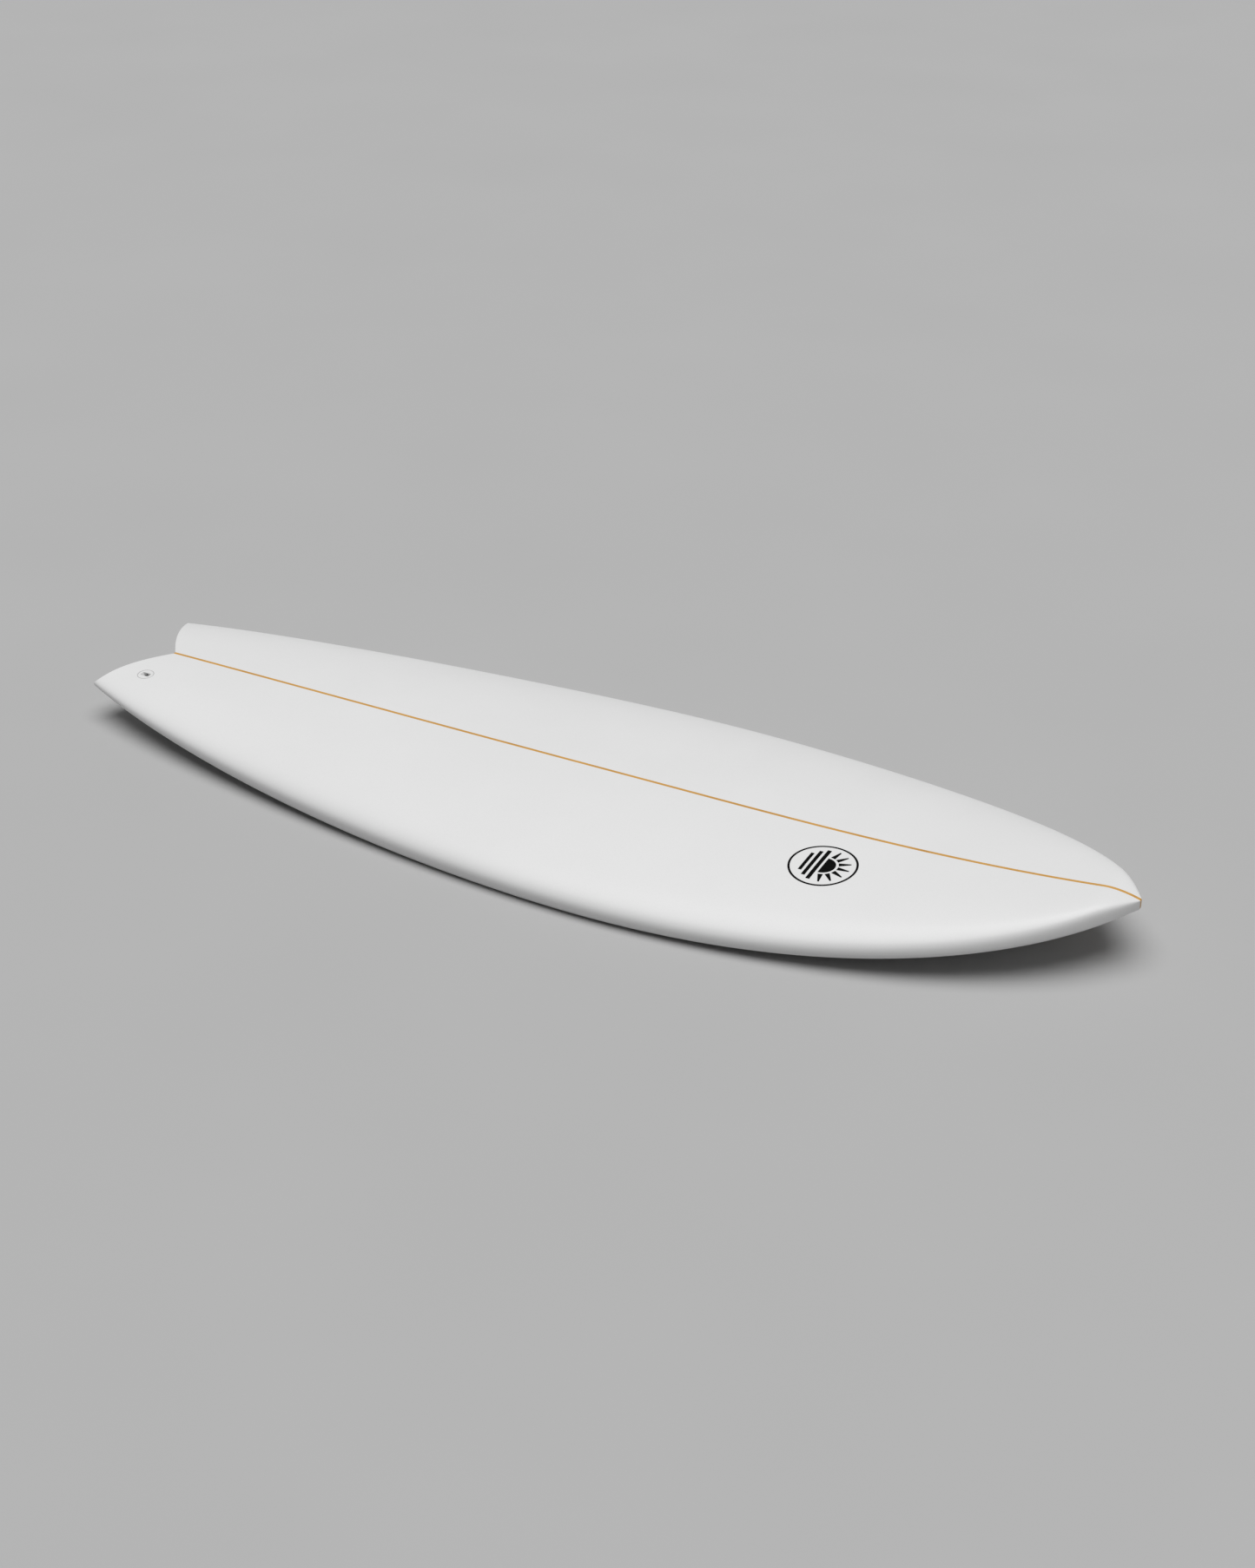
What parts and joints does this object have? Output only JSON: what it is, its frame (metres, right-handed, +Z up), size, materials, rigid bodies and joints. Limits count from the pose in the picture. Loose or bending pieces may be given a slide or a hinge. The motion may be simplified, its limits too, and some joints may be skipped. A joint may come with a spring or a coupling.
{
  "type": "surfboard",
  "caption": "Short fish surfboard with a swallow tail, a wooden stringer, a white gloss skin, a leash plug and four fin boxes with their clamp screws.",
  "frame": {"origin": "half way along the board, under the lowest point of its bottom", "axes": "+X to the nose, +Y to the left rail, +Z up through the deck"},
  "size_m": [1.676, 0.562, 0.096],
  "materials": {
    "foam": "cut foam, fine cells",
    "stringer_wood": "pale basswood, satin under resin",
    "laminate": "clear polyester resin and glass over white foam, polished",
    "patch_glass": "glass cloth in resin",
    "cup_plastic": "moulded white plastic",
    "box_plastic": "moulded plastic, sanded flush",
    "steel": "stainless steel",
    "emblem_print": "dark print"
  },
  "bodies": {
    "board": {"foam_right": "foam", "foam_left": "foam", "stringer": "stringer_wood", "bottom_laminate": "laminate", "deck_laminate": "laminate", "tail_edge_tape": "laminate", "leash_cup": "cup_plastic", "leash_bar": "steel", "nose_emblem": "emblem_print", "fin_box_front_right": "box_plastic", "fin_patch_front_right": "patch_glass", "fin_box_front_left": "box_plastic", "fin_patch_front_left": "patch_glass", "fin_box_rear_right": "box_plastic", "fin_patch_rear_right": "patch_glass", "fin_box_rear_left": "box_plastic", "fin_patch_rear_left": "patch_glass"},
    "fin_screw_front_right": {"fin_screw_front_right": "steel"},
    "fin_screw_front_left": {"fin_screw_front_left": "steel"},
    "fin_screw_rear_right": {"fin_screw_rear_right": "steel"},
    "fin_screw_rear_left": {"fin_screw_rear_left": "steel"}
  },
  "joints": [
    {"name": "fin_screw_front_right_travel", "type": "slide", "parent": "board", "child": "fin_screw_front_right", "axis": [-0.5226, -0.0274, 0.8521], "range_m": [0, 0.004]},
    {"name": "fin_screw_front_left_travel", "type": "slide", "parent": "board", "child": "fin_screw_front_left", "axis": [-0.5226, 0.0274, 0.8521], "range_m": [0, 0.004]},
    {"name": "fin_screw_rear_right_travel", "type": "slide", "parent": "board", "child": "fin_screw_rear_right", "axis": [-0.5021, -0.0175, 0.8647], "range_m": [0, 0.004]},
    {"name": "fin_screw_rear_left_travel", "type": "slide", "parent": "board", "child": "fin_screw_rear_left", "axis": [-0.5021, 0.0175, 0.8647], "range_m": [0, 0.004]}
  ]
}
